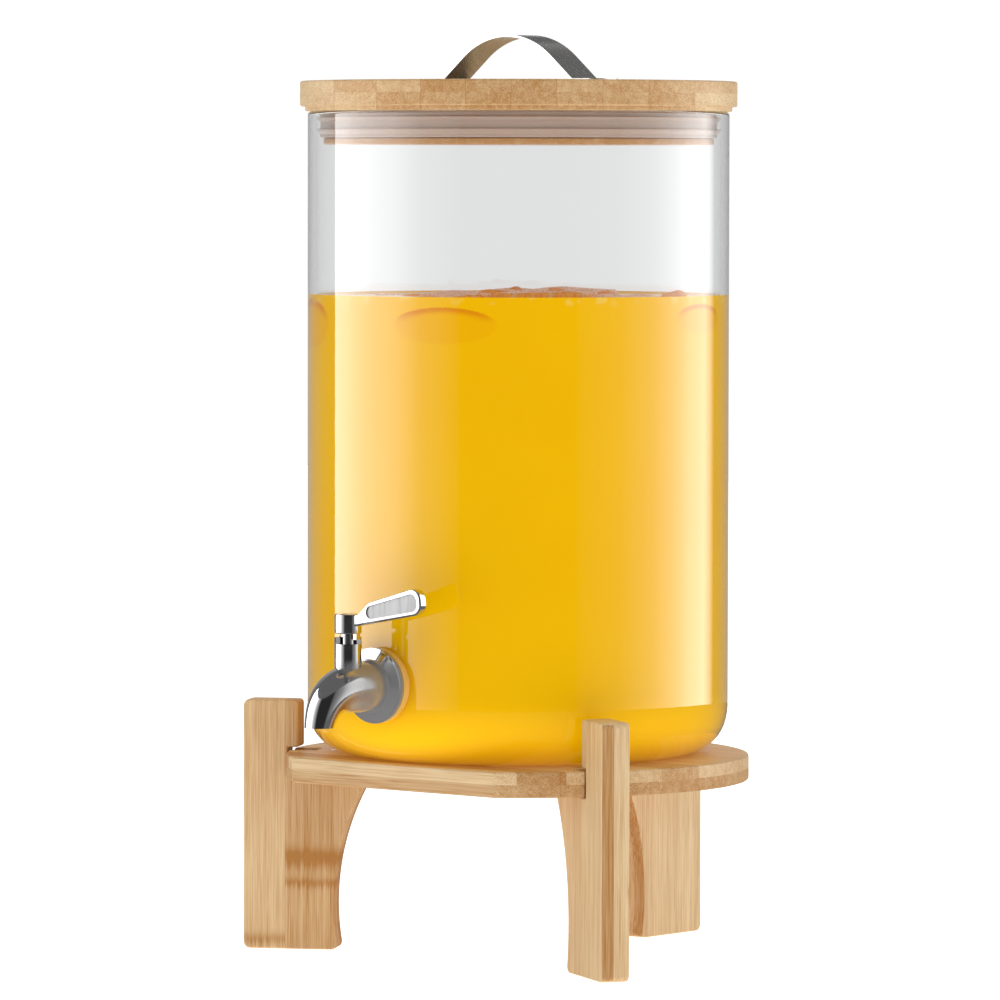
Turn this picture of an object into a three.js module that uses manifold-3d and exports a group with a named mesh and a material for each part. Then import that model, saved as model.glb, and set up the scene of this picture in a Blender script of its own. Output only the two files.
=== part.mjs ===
// A beverage dispenser: a glass jar with a quarter-turn tap stands on a three-legged bamboo
// stand, under a bamboo lid with a steel strap handle.
// Millimetres, +Z up. Each piece is drawn about the jar's axis. The tap faces -Y.
import * as THREE from "three";
import { mergeVertices } from "three/addons/utils/BufferGeometryUtils.js";
import Module from "manifold-3d";

// --- Driving dimensions ------------------------------------------------------------------

// Stand
const LEG_HEIGHT = 119.5;
const LEG_THICKNESS = 14;
const LEG_OUTER_RADIUS = 132; // outer edge of each leg from the jar's axis
const LEG_ANGLES = { leg_front_right: -30, leg_rear: 90, leg_front_left: -150 };
const TAB_INNER_RADIUS = 105; // the tab that stands up beside the jar
const INNER_EDGE_RADIUS = 118; // the hollow curve of the leg's inner edge
const INNER_EDGE_HEIGHT = 22; // where that curve is furthest out
const INNER_EDGE_REACH = 87.8; // and how far out it is there
const PLATFORM_RADIUS = 110;
const PLATFORM_TOP = 95.5;
const PLATFORM_THICKNESS = 12;
const PLATFORM_FLAT = 91; // straight front edge, from the jar's axis
const NOTCH_DEPTH = 14; // from the rim, for each leg
const SLOT_END_RADIUS = 110.5; // bottom of the slot in the leg
const SLOT_RELIEF = 1.3; // air above the platform in that slot
const LEG_SCREW_RADIUS = 87; // from the jar's axis to each leg screw

// Jar
const JAR_RADIUS = 100;
const JAR_WALL = 4;
const JAR_BASE = 5;
const JAR_CORNER = 26;
const JAR_RIM = 400;

// Lid
const LID_RADIUS = 103.6;
const LID_THICKNESS = 12;
const LID_STEP = 2.2;
const LID_STEP_RADIUS = 101.2;
const PLUG_RADIUS = 89;
const PLUG_FLANGE_RADIUS = 92.5;
const PLUG_FLANGE = 3;
const PLUG_REACH = 15.6; // below the jar's rim
const SEAL_RADIUS = 95.7;

// Strap handle
const STRAP_RADIUS = 43; // outside of the arch
const STRAP_SLOPE = 40; // degrees from the lid to the straight legs of the strap
const STRAP_RISE = 22; // top of the arch above the lid
const STRAP_WIDTH = 18.7;
const STRAP_THICKNESS = 1;
const STRAP_BEND = 3; // outside radius of the bend into each foot
const STRAP_FOOT = 16;
const STRAP_END_CORNER = 6.5; // in plan, on each foot

// Tap: distances out along the tap are from the jar's axis, and heights from the tap's axis
const TAP_HEIGHT = PLATFORM_TOP + 37.7;
const FLANGE_RADIUS = 17.75;
const FLANGE_REAR = JAR_RADIUS + 2.6;
const FLANGE_EDGE = 2;
const FLANGE_FRONT_RADIUS = 16.5;
const BARREL_RADIUS = 12;
const BARREL_START = FLANGE_REAR + 4.4;
const SHANK_RADIUS = 8;
const SHANK_END = 77;
const STEM_REACH = 122;
const POST_RADIUS = 6.35;
const POST_TOP = 23.6;
const NOTCH_FLOOR = 20.4;
const STEM_RADIUS = 4.2;
const NECK_RADIUS = 3.4;
const CAP_RADIUS = 6.3;
const CAP_BOTTOM = 25.2;
const CAP_TOP = 34.4;
const LEVER_THICKNESS = 4.8;
const LEVER_SWEEP = 90; // degrees between the tap's closed and open stops
const OUTLET_RADIUS = 6.6;
const OUTLET_BOTTOM = -17.4;
const WATERWAY_RADIUS = 4.2;
const NUT_ACROSS_FLATS = 24;
const NUT_THICKNESS = 6;
const INNER_GASKET_RADIUS = 14;
const WASHER_RADIUS = 13.5;

// Fits and fineness
const TOUCH = 0.1; // between two pieces that rest on each other
const CLEARANCE = 0.3; // around a piece that sits in a cut-out
const RUNNING = 0.15; // around a piece that turns
const ROUND = 64; // sides of a large circle
const SMALL_ROUND = 24; // sides of a small one
const TINY_ROUND = 16; // and of a screw

// --- Materials ---------------------------------------------------------------------------

const plain = (colour, roughness, metalness, more = {}) =>
  new THREE.MeshStandardMaterial({ color: colour, roughness, metalness, ...more });
const bamboo = plain(0xd2a870, 0.55, 0);
const glass = plain(0xe6eef0, 0.05, 0, { transparent: true, opacity: 0.35 });
const polishedSteel = plain(0xd8d8da, 0.1, 1);
const strapSteel = plain(0xb8b6b4, 0.25, 1);
const silicone = plain(0xe8e4dc, 0.4, 0, { transparent: true, opacity: 0.7 });

// --- Outlines and solids -----------------------------------------------------------------

const wasm = await Module();
wasm.setup();

const radians = THREE.MathUtils.degToRad;
const point = (x, y) => new THREE.Vector2(x, y);

// The outline through corners [x, y, radius], with an arc in place of each corner that has a radius.
// An open outline keeps its first and last corners sharp.
function outline(corners, { open = false, steps = 3 } = {}) {
  const places = corners.map(([x, y]) => point(x, y));
  const count = places.length;
  return corners.flatMap(([, , radius = 0], i) => {
    const corner = places[i];
    const end = open && (i === 0 || i === count - 1);
    if (!radius || end) return [corner];
    const before = places[(i + count - 1) % count].clone().sub(corner).normalize();
    const after = places[(i + 1) % count].clone().sub(corner).normalize();
    const half = Math.acos(before.dot(after)) / 2;
    const centre = before.clone().add(after).setLength(radius / Math.sin(half)).add(corner);
    const first = before.multiplyScalar(radius / Math.tan(half)).add(corner).sub(centre);
    const last = after.multiplyScalar(radius / Math.tan(half)).add(corner).sub(centre);
    const turn = Math.atan2(first.cross(last), first.dot(last));
    return Array.from({ length: steps + 1 }, (_, step) =>
      first.clone().rotateAround(point(0, 0), (turn * step) / steps).add(centre),
    );
  });
}

// A closed geometry as a manifold-3d solid.
function solid(geometry) {
  const bare = new THREE.BufferGeometry();
  bare.setAttribute("position", geometry.getAttribute("position"));
  bare.setIndex(geometry.getIndex());
  const merged = mergeVertices(bare, 1e-4);
  const made = new wasm.Mesh({
    numProp: 3,
    vertProperties: merged.getAttribute("position").array,
    triVerts: new Uint32Array(merged.getIndex().array),
  });
  return new wasm.Manifold(made);
}

// A manifold-3d solid as a geometry for a mesh.
function geometryOf(body) {
  const { numProp, vertProperties, triVerts } = body.getMesh();
  const geometry = new THREE.BufferGeometry();
  geometry.setAttribute("position", new THREE.BufferAttribute(vertProperties, numProp));
  geometry.setIndex(new THREE.BufferAttribute(triVerts, 1));
  return geometry;
}

// A solid of revolution about +Z. The outline is (radius, height), from its foot on the axis to its
// head, or all the way round a ring.
function turned(points, sides = ROUND) {
  const geometry = new THREE.LatheGeometry(points, sides);
  geometry.rotateX(Math.PI / 2);
  return solid(geometry);
}

// The outline of a flat ring.
const ring = (inner, outer, bottom, top) => [
  point(inner, bottom),
  point(outer, bottom),
  point(outer, top),
  point(inner, top),
  point(inner, bottom),
];

const rod = (radius, bottom, top, sides = SMALL_ROUND) =>
  turned([point(0, bottom), point(radius, bottom), point(radius, top), point(0, top)], sides);

// A flat outline in X and Y, raised along +Z from bottom to top.
function raised(points, bottom, top) {
  const shape = new THREE.Shape(points);
  const geometry = new THREE.ExtrudeGeometry(shape, { depth: top - bottom, bevelEnabled: false });
  geometry.translate(0, 0, bottom);
  return solid(geometry);
}

// An upright outline in X and Z, with its thickness centred on y.
function upright(points, thickness, y = 0) {
  const shape = new THREE.Shape(points);
  const geometry = new THREE.ExtrudeGeometry(shape, { depth: thickness, bevelEnabled: false });
  geometry.rotateX(Math.PI / 2);
  geometry.translate(0, y + thickness / 2, 0);
  return solid(geometry);
}

const block = (x, y, z, width, depth, height) => {
  const geometry = new THREE.BoxGeometry(width, depth, height);
  geometry.translate(x, y, z);
  return solid(geometry);
};

// Lays a solid that stands on +Z along +X.
const alongX = (body) => body.rotate([0, 90, 0]);

// A countersunk screw, head up, with the top of its head at z = 0.
function countersunkScrew(headRadius, shankRadius, length) {
  const cone = headRadius - shankRadius;
  const body = turned(
    [
      point(0, -length),
      point(shankRadius, -length + 2 * shankRadius),
      point(shankRadius, -cone),
      point(headRadius, 0),
      point(0, 0),
    ],
    TINY_ROUND,
  );
  const drive = block(0, 0, 0, headRadius, headRadius / 4, 1.2);
  const crossDrive = block(0, 0, 0, headRadius / 4, headRadius, 1.2);
  return body.subtract(drive).subtract(crossDrive);
}

// The hole that such a screw sits in, a little larger all round.
const screwHole = (headRadius, shankRadius, length) =>
  turned(
    [
      point(0, -length - 1),
      point(shankRadius + CLEARANCE, -length - 1),
      point(shankRadius + CLEARANCE, shankRadius - headRadius),
      point(headRadius + CLEARANCE, 0),
      point(headRadius + CLEARANCE, 5),
      point(0, 5),
    ],
    TINY_ROUND,
  );

function piece(name, body, material) {
  const geometry = body instanceof THREE.BufferGeometry ? body : geometryOf(body);
  const mesh = new THREE.Mesh(geometry, material);
  mesh.name = name;
  return mesh;
}

// --- Stand -------------------------------------------------------------------------------

const platformBottom = PLATFORM_TOP - PLATFORM_THICKNESS;
const legScrew = { head: 4, shank: 2, length: 34 };

// Radius of a leg's inner edge at a height.
function innerEdge(height) {
  const rise = height - INNER_EDGE_HEIGHT;
  return INNER_EDGE_REACH - INNER_EDGE_RADIUS + Math.sqrt(INNER_EDGE_RADIUS ** 2 - rise ** 2);
}

function leg() {
  const shoulder = platformBottom - TOUCH;
  const curve = Array.from({ length: 13 }, (_, step) => {
    const height = shoulder + (3 - shoulder) * (step / 12);
    return [innerEdge(height), height];
  });
  const profile = outline([
    ...curve,
    [innerEdge(0), 0, 3],
    [LEG_OUTER_RADIUS, 0, 3],
    [LEG_OUTER_RADIUS, LEG_HEIGHT, 3],
    [TAB_INNER_RADIUS, LEG_HEIGHT, 2],
    [TAB_INNER_RADIUS, PLATFORM_TOP + SLOT_RELIEF],
    [SLOT_END_RADIUS, PLATFORM_TOP + SLOT_RELIEF],
    [SLOT_END_RADIUS, shoulder],
  ]);
  const hole = screwHole(legScrew.head, legScrew.shank, legScrew.length);
  return upright(profile, LEG_THICKNESS).subtract(hole.translate([LEG_SCREW_RADIUS, 0, PLATFORM_TOP]));
}

// A round board with a straight front edge, a notch for each leg and a hole for each leg's screw.
function platform() {
  const frontAngle = Math.acos(PLATFORM_FLAT / PLATFORM_RADIUS);
  const start = -Math.PI / 2 + frontAngle;
  const sweep = 2 * (Math.PI - frontAngle);
  const rim = Array.from({ length: ROUND + 1 }, (_, step) => {
    const angle = start + (sweep * step) / ROUND;
    return point(PLATFORM_RADIUS * Math.cos(angle), PLATFORM_RADIUS * Math.sin(angle));
  });
  let board = raised(rim, platformBottom, PLATFORM_TOP);
  const notchLength = 2 * NOTCH_DEPTH;
  for (const angle of Object.values(LEG_ANGLES)) {
    const width = LEG_THICKNESS + 2 * CLEARANCE;
    const middle = (platformBottom + PLATFORM_TOP) / 2;
    const notch = block(PLATFORM_RADIUS, 0, middle, notchLength, width, PLATFORM_THICKNESS + 2);
    const hole = screwHole(legScrew.head, legScrew.shank, legScrew.length);
    const cut = notch.add(hole.translate([LEG_SCREW_RADIUS, 0, PLATFORM_TOP]));
    board = board.subtract(cut.rotate([0, 0, angle]));
  }
  return board;
}

const stand = new THREE.Group();
stand.add(piece("platform", platform(), bamboo));
const legGeometry = geometryOf(leg());
const legScrewGeometry = geometryOf(countersunkScrew(legScrew.head, legScrew.shank, legScrew.length));
for (const [name, angle] of Object.entries(LEG_ANGLES)) {
  const joint = new THREE.Group();
  joint.rotation.z = radians(angle);
  const screw = piece(name.replace("leg", "leg_screw"), legScrewGeometry, strapSteel);
  screw.position.set(LEG_SCREW_RADIUS, 0, PLATFORM_TOP - TOUCH);
  joint.add(piece(name, legGeometry, bamboo), screw);
  stand.add(joint);
}

// --- Jar ---------------------------------------------------------------------------------

const jarBottom = PLATFORM_TOP + TOUCH;

// The glass with rounded lower corners and a rounded rim, grown all over by a clearance.
function glassShape(grow = 0) {
  const inside = JAR_RADIUS - JAR_WALL - grow;
  const wall = outline(
    [
      [0, jarBottom - grow],
      [JAR_RADIUS + grow, jarBottom - grow, JAR_CORNER + grow],
      [JAR_RADIUS + grow, JAR_RIM, 1.6],
      [inside, JAR_RIM, 1.6],
      [inside, jarBottom + JAR_BASE + grow, JAR_CORNER - JAR_WALL - grow],
      [0, jarBottom + JAR_BASE + grow],
    ],
    { open: true, steps: 4 },
  );
  return turned(wall);
}

// The open jar, with a hole for the tap's shank.
function jar() {
  const hole = alongX(rod(SHANK_RADIUS + 0.5, 60, 140));
  return glassShape().subtract(hole.rotate([0, 0, -90]).translate([0, 0, TAP_HEIGHT]));
}

// --- Lid ---------------------------------------------------------------------------------

const lidFoot = JAR_RIM + TOUCH;
const lidUnder = lidFoot + LID_STEP;
const lidTop = lidUnder + LID_THICKNESS;
const strapScrew = { head: 3.2, shank: 1.6, length: 11 };

// Half the arch's span where its straight legs would meet the lid.
const slope = radians(STRAP_SLOPE);
const archEnd = STRAP_RADIUS * Math.sin(slope);
const archDrop = STRAP_RADIUS * (1 - Math.cos(slope));
const strapFootStart = archEnd + (STRAP_RISE - archDrop) / Math.tan(slope);
const strapScrewX = strapFootStart + STRAP_FOOT / 2 + 1;
const strapTop = lidTop + TOUCH + STRAP_THICKNESS;

function strapScrewHole(side) {
  const hole = screwHole(strapScrew.head, strapScrew.shank, strapScrew.length);
  return hole.translate([side * strapScrewX, 0, strapTop]);
}

function lidDisc() {
  const disc = turned(
    outline(
      [
        [0, lidFoot],
        [LID_STEP_RADIUS, lidFoot],
        [LID_STEP_RADIUS, lidUnder],
        [LID_RADIUS, lidUnder, 1.2],
        [LID_RADIUS, lidTop, 1.2],
        [0, lidTop],
      ],
      { open: true, steps: 1 },
    ),
  );
  return disc.subtract(strapScrewHole(-1)).subtract(strapScrewHole(1));
}

// The turned plug under the disc, with a flange that keeps the seal on.
const plugBottom = JAR_RIM - PLUG_REACH;
const lidPlug = () =>
  turned(
    outline(
      [
        [0, plugBottom],
        [PLUG_FLANGE_RADIUS, plugBottom, 0.8],
        [PLUG_FLANGE_RADIUS, plugBottom + PLUG_FLANGE, 0.8],
        [PLUG_RADIUS, plugBottom + PLUG_FLANGE],
        [PLUG_RADIUS, lidFoot - TOUCH],
        [0, lidFoot - TOUCH],
      ],
      { open: true, steps: 1 },
    ),
  );

// A ring round the plug, with two soft lips that press on the jar's wall.
function lidSeal() {
  const bottom = plugBottom + PLUG_FLANGE + TOUCH;
  const top = lidFoot - TOUCH;
  const inner = PLUG_RADIUS + TOUCH;
  const core = SEAL_RADIUS - 1.7;
  const lip = (height) => [
    [core, height - 1.4],
    [SEAL_RADIUS, height + 0.2],
    [SEAL_RADIUS, height + 1],
    [core, height + 1.4],
  ];
  const points = outline([
    [inner, bottom],
    [core, bottom],
    ...lip(bottom + 3),
    ...lip(bottom + 8.6),
    [core, top],
    [inner, top],
  ]);
  return turned([...points, points[0]]);
}

// One side of the strap's centre line, from the top of the arch to the end of its foot.
function strapSide() {
  const bend = STRAP_BEND - STRAP_THICKNESS / 2;
  const arc = STRAP_RADIUS - STRAP_THICKNESS / 2;
  const floor = lidTop + TOUCH + STRAP_THICKNESS / 2;
  const crown = lidTop + STRAP_RISE - STRAP_RADIUS;
  const arch = Array.from({ length: 8 }, (_, step) => {
    const angle = (slope * step) / 7;
    return [arc * Math.sin(angle), crown + arc * Math.cos(angle)];
  });
  const [x, z] = arch.at(-1);
  const foot = x + (z - floor) / Math.tan(slope);
  return outline([...arch, [foot, floor, bend], [foot + STRAP_FOOT, floor]], { open: true });
}

// A bent strip with a round end on each foot.
function strap() {
  const side = strapSide();
  const mirrored = side.slice(1).map(({ x, y }) => point(-x, y)).reverse();
  const line = [...mirrored, ...side];
  const normals = line.map((_, i) => {
    const along = line[Math.min(i + 1, line.length - 1)].clone().sub(line[Math.max(i - 1, 0)]);
    return point(-along.y, along.x).setLength(STRAP_THICKNESS / 2);
  });
  const above = line.map((place, i) => place.clone().add(normals[i]));
  const below = line.map((place, i) => place.clone().sub(normals[i]));
  const strip = upright([...below, ...above.reverse()], STRAP_WIDTH);
  const half = STRAP_WIDTH / 2;
  const end = side.at(-1).x;
  const plan = outline(
    [
      [end, -half, STRAP_END_CORNER],
      [end, half, STRAP_END_CORNER],
      [-end, half, STRAP_END_CORNER],
      [-end, -half, STRAP_END_CORNER],
    ],
    { steps: 5 },
  );
  const handle = strip.intersect(raised(plan, lidTop - 1, lidTop + STRAP_RISE + 5));
  return handle.subtract(strapScrewHole(-1)).subtract(strapScrewHole(1));
}

const lid = new THREE.Group();
lid.add(piece("lid_disc", lidDisc(), bamboo));
lid.add(piece("lid_plug", lidPlug(), bamboo));
lid.add(piece("lid_seal", lidSeal(), silicone));
lid.add(piece("strap_handle", strap(), strapSteel));
for (const [name, x] of [["strap_screw_left", -strapScrewX], ["strap_screw_right", strapScrewX]]) {
  const body = countersunkScrew(strapScrew.head, strapScrew.shank, strapScrew.length);
  const screw = piece(name, body, strapSteel);
  screw.position.set(x, 0, strapTop);
  lid.add(screw);
}

// --- Tap ---------------------------------------------------------------------------------
// Drawn with +X out along the tap, +Z up and the tap's axis at z = 0.

// The centre line of the spout, from inside the barrel to its outlet.
const spoutLine = new THREE.CubicBezierCurve3(
  new THREE.Vector3(STEM_REACH - 8, 0, 0),
  new THREE.Vector3(STEM_REACH + 9, 0, 0),
  new THREE.Vector3(STEM_REACH + 17.5, 0, -4),
  new THREE.Vector3(STEM_REACH + 20.5, 0, OUTLET_BOTTOM - 2),
);

// A tapering round bar that follows the spout's centre line.
function spoutBar(startRadius, endRadius, fullness) {
  const steps = 10;
  const side = Array.from({ length: steps + 1 }, (_, step) => {
    const share = step / steps;
    return point(startRadius + (endRadius - startRadius) * share ** fullness, share);
  });
  const points = [point(0, 0), ...side, point(0, 1)];
  const geometry = new THREE.LatheGeometry(points, SMALL_ROUND);
  geometry.rotateX(Math.PI / 2);
  const places = geometry.getAttribute("position");
  for (let i = 0; i < places.count; i++) {
    const centre = spoutLine.getPoint(places.getZ(i));
    const along = spoutLine.getTangent(places.getZ(i));
    const across = places.getX(i);
    places.setXYZ(i, centre.x + across * along.z, places.getY(i), centre.z - across * along.x);
  }
  return solid(geometry);
}

// A pie slice about +Z.
function sector(radius, from, to, bottom, top) {
  const arc = Array.from({ length: 13 }, (_, step) => {
    const angle = radians(from + ((to - from) * step) / 12);
    return point(radius * Math.cos(angle), radius * Math.sin(angle));
  });
  return raised([point(0, 0), ...arc], bottom, top);
}

const notchMargin = 18; // degrees past each end of the lever's sweep, for its stop tab

// The tap's casting: shank, flange, barrel, spout and the post that the lever's stem turns in.
function tapBody() {
  const bevel = BARREL_START - FLANGE_REAR - FLANGE_EDGE;
  const turnedParts = turned(
    outline(
      [
        [0, SHANK_END],
        [SHANK_RADIUS, SHANK_END, 0.8],
        [SHANK_RADIUS, FLANGE_REAR],
        [FLANGE_RADIUS, FLANGE_REAR, 0.4],
        [FLANGE_RADIUS, FLANGE_REAR + FLANGE_EDGE, 0.5],
        [FLANGE_FRONT_RADIUS, FLANGE_REAR + FLANGE_EDGE + 0.4],
        [BARREL_RADIUS, FLANGE_REAR + FLANGE_EDGE + bevel],
        [BARREL_RADIUS, STEM_REACH - 7.8],
        [0, STEM_REACH - 7.8],
      ],
      { open: true, steps: 1 },
    ),
    32,
  );
  const post = rod(POST_RADIUS, 0, POST_TOP).translate([STEM_REACH, 0, 0]);
  const outside = alongX(turnedParts).add(spoutBar(BARREL_RADIUS, OUTLET_RADIUS, 1.1)).add(post);
  const stemBore = rod(STEM_RADIUS + RUNNING, -6.5, POST_TOP + 5);
  const notch = sector(15, -notchMargin, LEVER_SWEEP + notchMargin, NOTCH_FLOOR, POST_TOP + 5);
  const waterway = alongX(rod(WATERWAY_RADIUS, SHANK_END - 5, STEM_REACH, TINY_ROUND));
  return outside
    .subtract(stemBore.add(notch).translate([STEM_REACH, 0, 0]))
    .subtract(waterway)
    .subtract(spoutBar(WATERWAY_RADIUS, OUTLET_RADIUS - 1.2, 1))
    .subtract(block(STEM_REACH + 20, 0, OUTLET_BOTTOM - 10, 40, 40, 20));
}

// A washer or gasket on the shank, between two distances out along the tap.
const shankRing = (radius, from, to) =>
  alongX(turned(ring(SHANK_RADIUS + CLEARANCE, radius, from, to), 32));

// A soft ring that takes the shape of the glass that it is pressed against.
function gasket(radius, from, to) {
  const glassHere = glassShape(CLEARANCE).translate([0, 0, -TAP_HEIGHT]);
  return shankRing(radius, from, to).subtract(glassHere);
}

const outerGasket = () => gasket(FLANGE_RADIUS - 0.2, JAR_RADIUS - 3, FLANGE_REAR - TOUCH);
const innerGasketRear = JAR_RADIUS - JAR_WALL - 4.4;
const innerGasket = () =>
  gasket(INNER_GASKET_RADIUS, innerGasketRear, JAR_RADIUS - JAR_WALL + 1);
const washerRear = innerGasketRear - TOUCH - 1.5;
const washer = () => shankRing(WASHER_RADIUS, washerRear, innerGasketRear - TOUCH);
const lockNutFront = washerRear - TOUCH;

// A hexagonal nut on the shank.
function lockNut() {
  const corner = NUT_ACROSS_FLATS / Math.sqrt(3);
  const hexagon = Array.from({ length: 6 }, (_, side) => {
    const angle = radians(60 * side);
    return point(corner * Math.cos(angle), corner * Math.sin(angle));
  });
  const bore = rod(SHANK_RADIUS + CLEARANCE, -1, NUT_THICKNESS + 1);
  const body = raised(hexagon, 0, NUT_THICKNESS).subtract(bore);
  return alongX(body.translate([0, 0, lockNutFront - NUT_THICKNESS]));
}

const tapBarrel = new THREE.Group();
tapBarrel.rotation.z = -Math.PI / 2;
tapBarrel.position.z = TAP_HEIGHT;
tapBarrel.add(piece("tap_body", tapBody(), polishedSteel));
tapBarrel.add(piece("tap_gasket_outer", outerGasket(), silicone));
tapBarrel.add(piece("tap_gasket_inner", innerGasket(), silicone));
tapBarrel.add(piece("tap_washer", washer(), strapSteel));
tapBarrel.add(piece("tap_lock_nut", lockNut(), polishedSteel));

// --- Lever -------------------------------------------------------------------------------
// Drawn about the stem's axis. Closed, the lever lies along +Y. It opens by turning to +X.

const grooveHeights = { stem_o_ring_lower: 8, stem_o_ring_upper: 13.5 };
const GROOVE_RADIUS = 3.1;
const RING_SECTION = 0.5;
const stemHead = { bottom: CAP_BOTTOM - 0.3, radius: 2.8, top: CAP_TOP - 3.4 };
const leverScrew = { head: 2.6, shank: 1.3, length: 9 };
const STOP_TAB_BOTTOM = 22.5; // of the tab under the cap that runs in the post's notch
const stopTabTop = CAP_BOTTOM + 2;

// The stem: a valve plug with a cross hole, two grooves, a neck, and a head inside the lever's cap.
function valveStem() {
  const grooves = Object.values(grooveHeights).flatMap((height) => [
    [STEM_RADIUS, height - 0.8],
    [GROOVE_RADIUS, height - 0.8],
    [GROOVE_RADIUS, height + 0.8],
    [STEM_RADIUS, height + 0.8],
  ]);
  const body = turned(
    outline(
      [
        [0, -6],
        [STEM_RADIUS, -6],
        ...grooves,
        [STEM_RADIUS, NOTCH_FLOOR - 1],
        [NECK_RADIUS, NOTCH_FLOOR - 0.2],
        [NECK_RADIUS, stemHead.bottom],
        [stemHead.radius, stemHead.bottom],
        [stemHead.radius, stemHead.top],
        [0, stemHead.top],
      ],
      { open: true },
    ),
    SMALL_ROUND,
  );
  const crossHole = rod(3, -10, 10, TINY_ROUND).rotate([90, 0, 0]);
  const screwBore = rod(leverScrew.shank + CLEARANCE, stemHead.top - 8, stemHead.top + 5, TINY_ROUND);
  return body.subtract(crossHole).subtract(screwBore);
}

// The lever: a round cap on the stem and a flat blade that rises and widens towards a rounded tip.
function lever() {
  const cap = turned(
    outline(
      [
        [0, CAP_BOTTOM],
        [CAP_RADIUS, CAP_BOTTOM, 0.4],
        [CAP_RADIUS, CAP_TOP, 0.8],
        [0, CAP_TOP],
      ],
      { open: true, steps: 3 },
    ),
    SMALL_ROUND,
  );
  const blade = upright(
    outline([
      [3, 28.2],
      [46.6, 35.9, 5],
      [45.2, 48.7, 5],
      [14, 40, 6],
      [7.5, 34.2, 4],
      [3, 33.8],
    ]),
    LEVER_THICKNESS,
  );
  const recess = upright(
    outline([
      [12, 31.8, 3],
      [44.3, 37.3, 3.5],
      [43.3, 46, 3.5],
      [13.5, 38.2, 3],
    ]),
    0.6,
    -LEVER_THICKNESS / 2 + 0.1,
  );
  const tabMiddle = (STOP_TAB_BOTTOM + stopTabTop) / 2;
  const stopTab = block(5.3, 0, tabMiddle, 1.8, 2.6, stopTabTop - STOP_TAB_BOTTOM);
  const socket = rod(stemHead.radius + TOUCH, CAP_BOTTOM - 5, stemHead.top + TOUCH);
  const screw = screwHole(leverScrew.head, leverScrew.shank, leverScrew.length);
  const along = cap.add(blade).add(stopTab).subtract(recess).subtract(socket);
  return along.subtract(screw.translate([0, 0, CAP_TOP])).rotate([0, 0, 90]);
}

const leverGroup = new THREE.Group();
leverGroup.position.x = STEM_REACH;
leverGroup.add(piece("valve_stem", valveStem(), polishedSteel));
for (const [name, height] of Object.entries(grooveHeights)) {
  const middle = GROOVE_RADIUS + TOUCH + RING_SECTION;
  const ringGeometry = new THREE.TorusGeometry(middle, RING_SECTION, 6, SMALL_ROUND);
  ringGeometry.translate(0, 0, height);
  leverGroup.add(piece(name, solid(ringGeometry), silicone));
}
leverGroup.add(piece("tap_lever", lever(), polishedSteel));
const screwOnLever = countersunkScrew(leverScrew.head, leverScrew.shank, leverScrew.length);
leverGroup.add(piece("lever_screw", screwOnLever.translate([0, 0, CAP_TOP]), polishedSteel));
tapBarrel.add(leverGroup);

// --- Assembly ----------------------------------------------------------------------------
// The origin is on the floor, below the middle of the whole dispenser's box.

const dispenser = new THREE.Group();
dispenser.add(stand, piece("glass_jar", jar(), glass), tapBarrel, lid);
const middle = new THREE.Box3().setFromObject(dispenser).getCenter(new THREE.Vector3());
dispenser.position.set(-middle.x, -middle.y, 0);

const part = new THREE.Group();
part.add(dispenser);
export default part;
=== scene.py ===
"""A beverage dispenser in its studio: a glass jar of orange juice on a bamboo stand, with a steel tap
and a bamboo lid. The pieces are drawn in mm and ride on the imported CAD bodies."""
import math
import random

import bmesh
import bpy
from mathutils import Matrix, Vector


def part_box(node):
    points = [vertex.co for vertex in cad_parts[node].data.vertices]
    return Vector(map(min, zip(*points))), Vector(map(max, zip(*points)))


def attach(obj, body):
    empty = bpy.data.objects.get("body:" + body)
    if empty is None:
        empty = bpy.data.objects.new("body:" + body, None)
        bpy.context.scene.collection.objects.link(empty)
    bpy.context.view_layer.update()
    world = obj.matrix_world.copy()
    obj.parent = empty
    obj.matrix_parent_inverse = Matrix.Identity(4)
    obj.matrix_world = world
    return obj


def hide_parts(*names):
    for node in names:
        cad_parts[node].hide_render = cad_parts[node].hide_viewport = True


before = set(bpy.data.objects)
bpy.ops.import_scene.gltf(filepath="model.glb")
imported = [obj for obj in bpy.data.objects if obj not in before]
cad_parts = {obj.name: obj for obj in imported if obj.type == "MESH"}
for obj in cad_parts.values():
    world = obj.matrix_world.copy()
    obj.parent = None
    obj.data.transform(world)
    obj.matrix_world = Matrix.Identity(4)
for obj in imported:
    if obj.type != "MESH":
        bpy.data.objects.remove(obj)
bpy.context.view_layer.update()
scene = bpy.context.scene

# --- Dimensions, in mm -------------------------------------------------------------------------
# Radii and reaches are from the jar's axis, and heights are from the floor, unless a comment differs.

MM = 0.001
jar_low, jar_high = (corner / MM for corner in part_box("glass_jar"))
AXIS = Vector(((jar_low.x + jar_high.x) / 2, (jar_low.y + jar_high.y) / 2, 0))
JAR_RADIUS = (jar_high.x - jar_low.x) / 2
JAR_BOTTOM = jar_low.z
JAR_RIM = jar_high.z
JAR_WALL = 4
JAR_BASE = 5
JAR_CORNER = 28  # size of the rounding at its foot
JAR_LIP = 1.9  # rounding of its rim
TAP_HOLE_RADIUS = 8.5

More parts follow.
